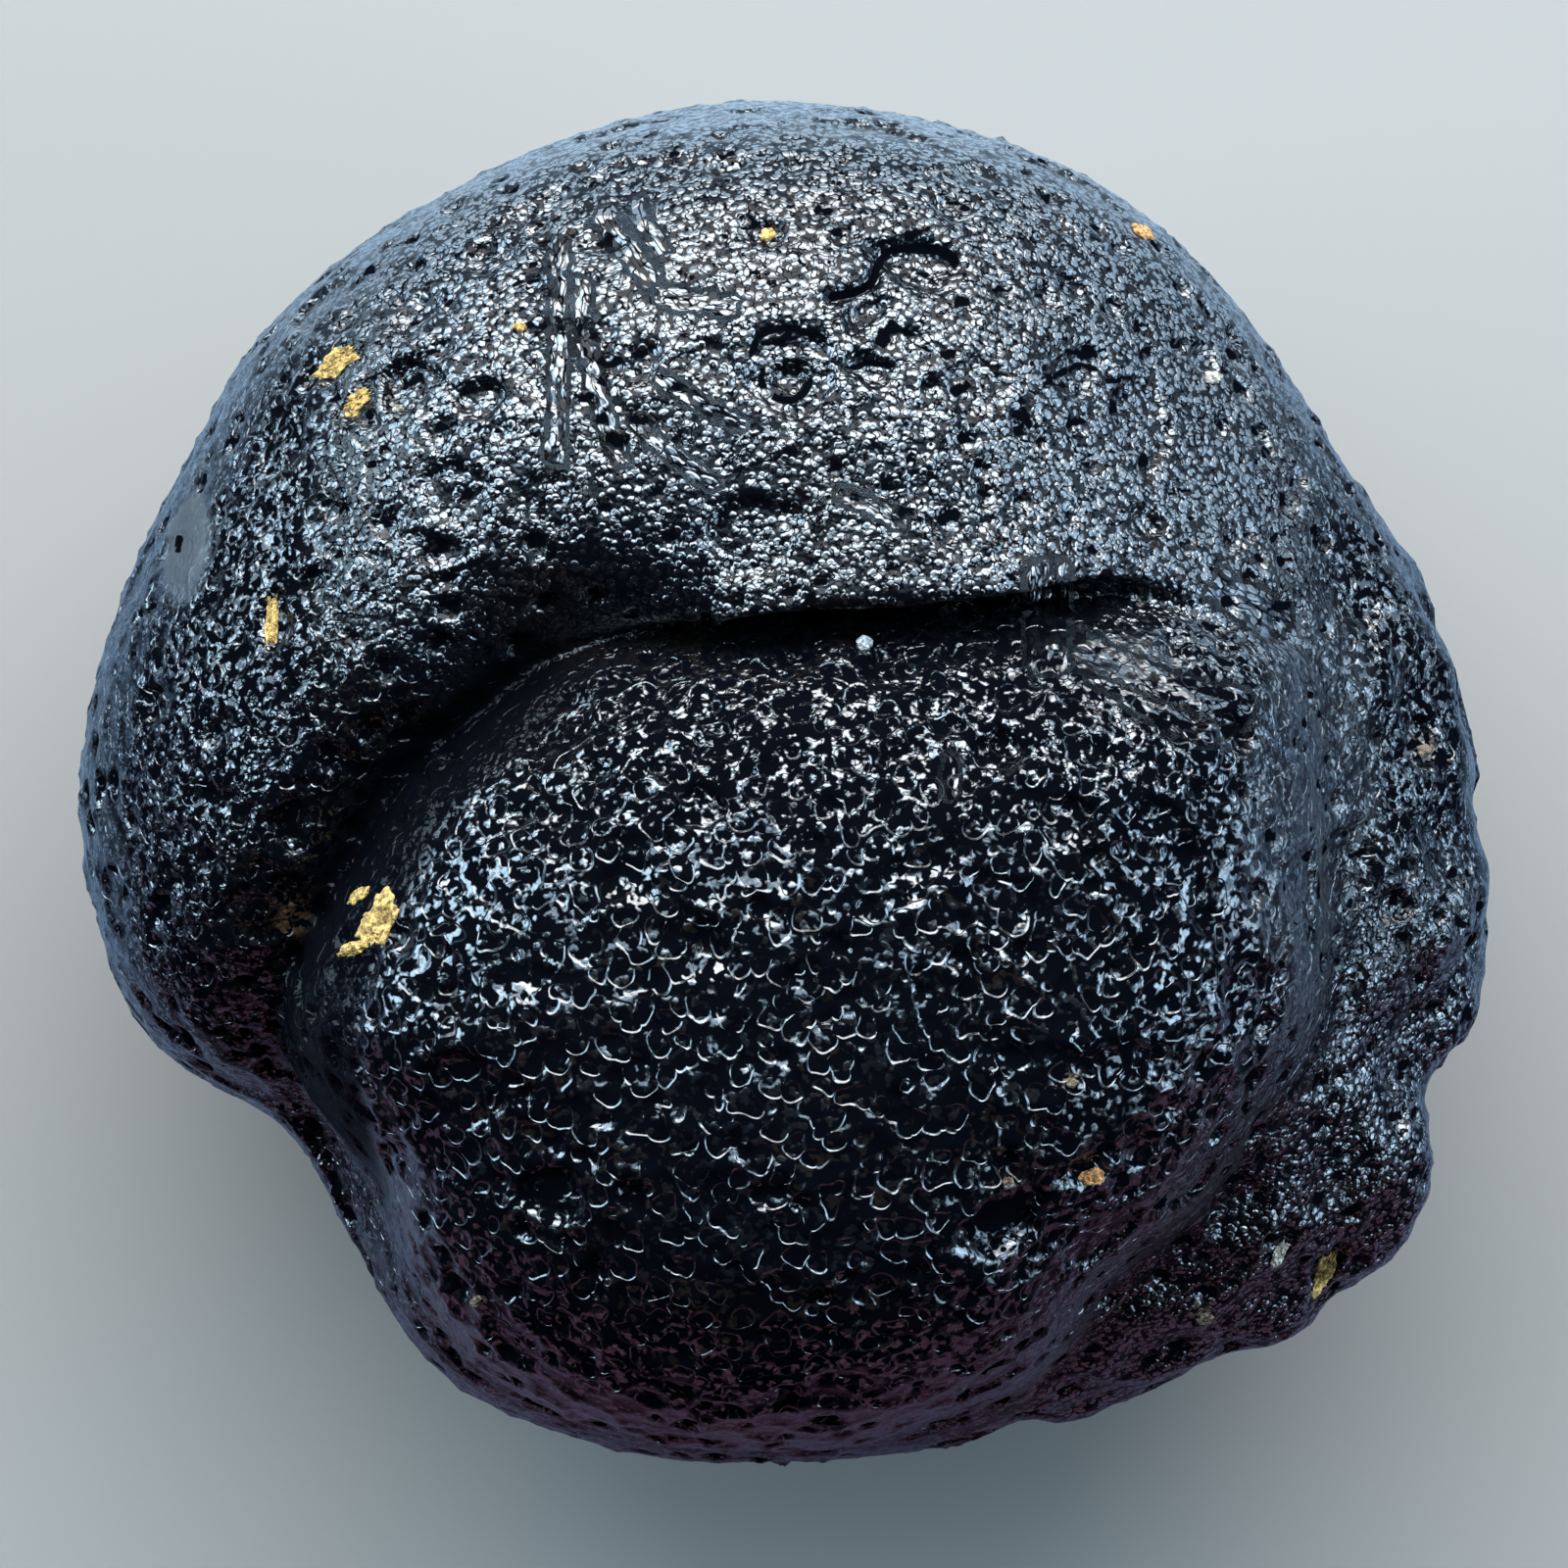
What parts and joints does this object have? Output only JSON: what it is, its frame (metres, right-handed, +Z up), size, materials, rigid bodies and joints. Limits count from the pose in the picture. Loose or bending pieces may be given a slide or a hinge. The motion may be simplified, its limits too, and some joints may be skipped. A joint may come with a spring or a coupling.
{
  "type": "tektite",
  "caption": "Lump of black natural glass, a round hood folded over a ball with a deep crease between them, pitted all over, lying on its flattened back.",
  "frame": {"origin": "on the surface that the stone rests on, under the middle of its outline", "axes": "+X towards the right and +Y towards the top of the face that looks up, +Z up"},
  "size_m": [0.05, 0.0488, 0.0346],
  "materials": {
    "black_glass": "natural glass, nearly opaque, glossy on fine etched pits",
    "pit_clay": "dry ochre clay left in some pits"
  },
  "bodies": {
    "root": {"tektite": "black_glass"}
  },
  "joints": []
}
